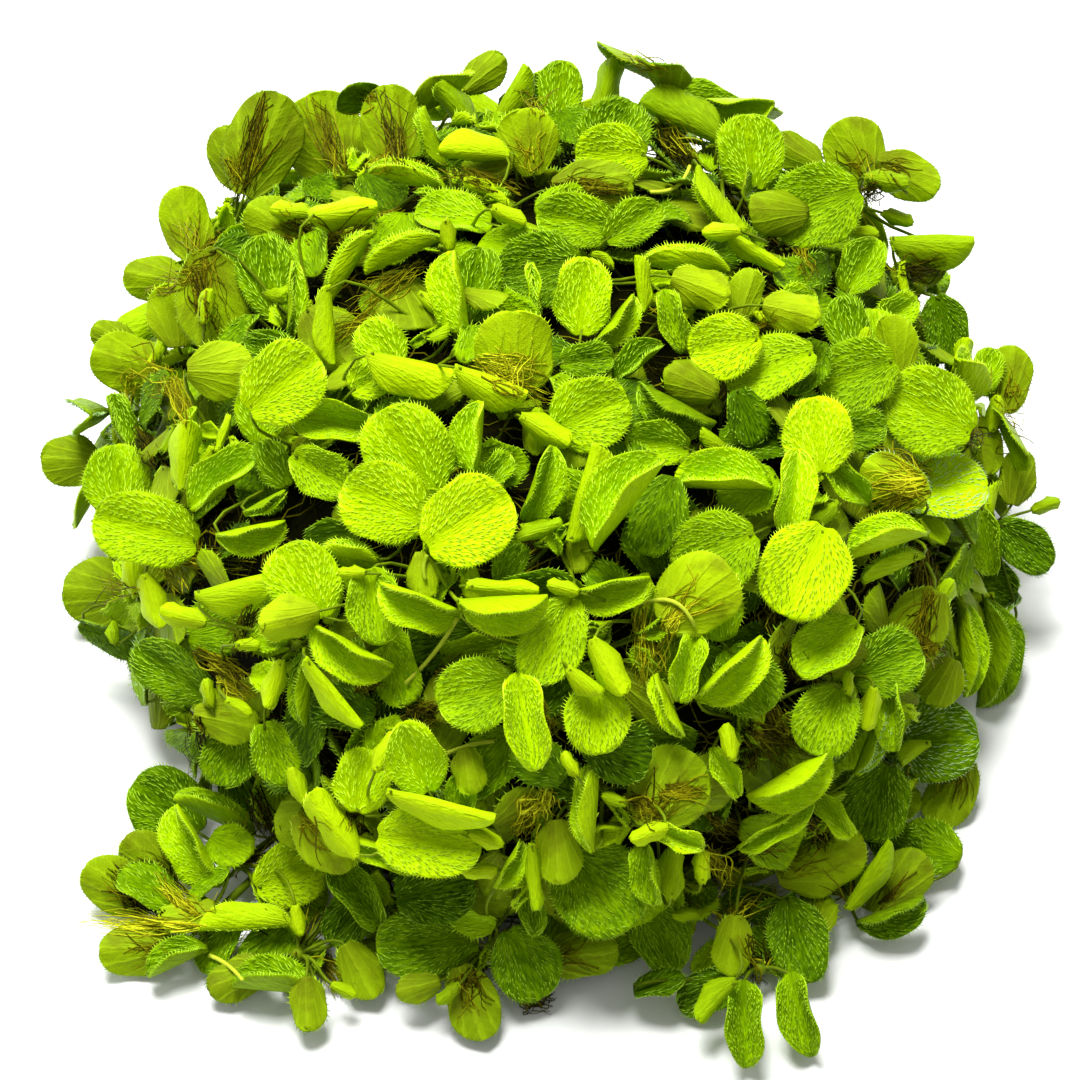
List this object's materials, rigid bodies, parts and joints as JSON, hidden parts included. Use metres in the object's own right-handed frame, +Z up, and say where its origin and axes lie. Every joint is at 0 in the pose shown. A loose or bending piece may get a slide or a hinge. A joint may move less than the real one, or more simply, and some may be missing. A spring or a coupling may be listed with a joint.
{
  "type": "water spangles clump",
  "caption": "Heaped clump of floating fern: cupped, bristly round green leaves in sprigs over a mound of matted brown roots.",
  "frame": {"origin": "middle of the flat base of the root mound, on the surface that the clump rests on", "axes": "+Z up out of the surface, +X to the clump's right as seen from the front, -Y to the front"},
  "size_m": [0.1292, 0.1453, 0.0564],
  "materials": {
    "root": "fine fibrous, matt, damp golden brown to dark brown",
    "leaf_crown": "hairy matt, bright yellow-green",
    "leaf_front": "hairy matt, fresh yellow-green",
    "leaf_left": "hairy matt, fresh green",
    "leaf_right": "hairy matt, mid green",
    "leaf_rear": "hairy matt, fresh green",
    "leaf_floor": "hairy matt, deeper green",
    "leaf_back": "hairy matt, mid green"
  },
  "bodies": {
    "root": {"back_sprig_01": "leaf_back", "back_sprig_02": "leaf_back", "back_sprig_03": "leaf_back", "back_sprig_04": "leaf_back", "back_sprig_05": "leaf_back", "back_sprig_06": "leaf_back", "back_sprig_07": "leaf_back", "back_sprig_08": "leaf_back", "back_sprig_09": "leaf_back", "crown_sprig_01": "leaf_crown", "crown_sprig_02": "leaf_crown", "crown_sprig_03": "leaf_crown", "crown_sprig_04": "leaf_crown", "crown_sprig_05": "leaf_crown", "crown_sprig_06": "leaf_crown", "crown_sprig_07": "leaf_crown", "crown_sprig_08": "leaf_crown", "floor_sprig_01": "leaf_floor", "floor_sprig_02": "leaf_floor", "floor_sprig_03": "leaf_floor", "floor_sprig_04": "leaf_floor", "floor_sprig_05": "leaf_floor", "floor_sprig_06": "leaf_floor", "front_sprig_01": "leaf_front", "front_sprig_02": "leaf_front", "front_sprig_03": "leaf_front", "front_sprig_04": "leaf_front", "front_sprig_05": "leaf_front", "front_sprig_06": "leaf_front", "front_sprig_07": "leaf_front", "front_sprig_08": "leaf_front", "left_sprig_01": "leaf_left", "left_sprig_02": "leaf_left", "left_sprig_03": "leaf_left", "left_sprig_04": "leaf_left", "left_sprig_05": "leaf_left", "left_sprig_06": "leaf_left", "left_sprig_07": "leaf_left", "left_sprig_08": "leaf_left", "left_sprig_09": "leaf_left", "left_sprig_10": "leaf_left", "rear_sprig_01": "leaf_rear", "rear_sprig_02": "leaf_rear", "rear_sprig_03": "leaf_rear", "rear_sprig_04": "leaf_rear", "rear_sprig_05": "leaf_rear", "rear_sprig_06": "leaf_rear", "rear_sprig_07": "leaf_rear", "rear_sprig_08": "leaf_rear", "rear_sprig_09": "leaf_rear", "right_sprig_01": "leaf_right", "right_sprig_02": "leaf_right", "right_sprig_03": "leaf_right", "right_sprig_04": "leaf_right", "right_sprig_05": "leaf_right", "right_sprig_06": "leaf_right", "right_sprig_07": "leaf_right", "right_sprig_08": "leaf_right", "right_sprig_09": "leaf_right", "root_tangle": "root"}
  },
  "joints": []
}
